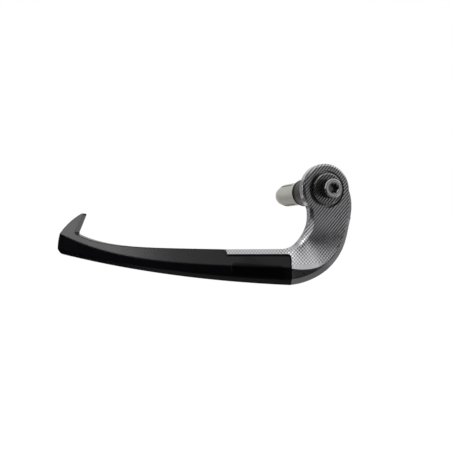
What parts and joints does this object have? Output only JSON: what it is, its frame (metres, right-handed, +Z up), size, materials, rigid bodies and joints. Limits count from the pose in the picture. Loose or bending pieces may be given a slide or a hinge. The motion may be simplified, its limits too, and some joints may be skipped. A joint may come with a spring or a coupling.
{
  "type": "motorcycle lever guard",
  "caption": "Bar-end lever guard: a twisted machined arm on an expanding handlebar plug carries a slim faceted moulded blade with a hooked tip.",
  "frame": {"origin": "on the handlebar's axis, in the plane where the end face of the handlebar tube meets the rubber seat ring", "axes": "+X outwards along the handlebar towards the bolt head, +Z up, -Y forwards on the motorcycle; the blade sweeps forwards and inwards from the arm"},
  "size_m": [0.1979, 0.1742, 0.0844],
  "materials": {
    "arm_metal": "machined and grey anodised, with tool lines",
    "blade_plastic": "satin black moulding",
    "bolt_steel": "zinc plated",
    "screw_steel": "blackened",
    "insert_brass": "plain",
    "washer_metal": "turned and grey anodised",
    "collar_metal": "dark anodised",
    "seat_rubber": "matt",
    "sleeve_metal": "as cast and tumbled",
    "cone_steel": "passivated"
  },
  "bodies": {
    "root": {"guard_arm": "arm_metal", "guard_blade": "blade_plastic", "blade_screws": "screw_steel", "blade_inserts": "insert_brass", "bar_end_bolt": "bolt_steel", "clamp_washer": "washer_metal", "spacer_collar": "collar_metal", "seat_ring": "seat_rubber", "expander_sleeve": "sleeve_metal", "expander_cone": "cone_steel"}
  },
  "joints": []
}
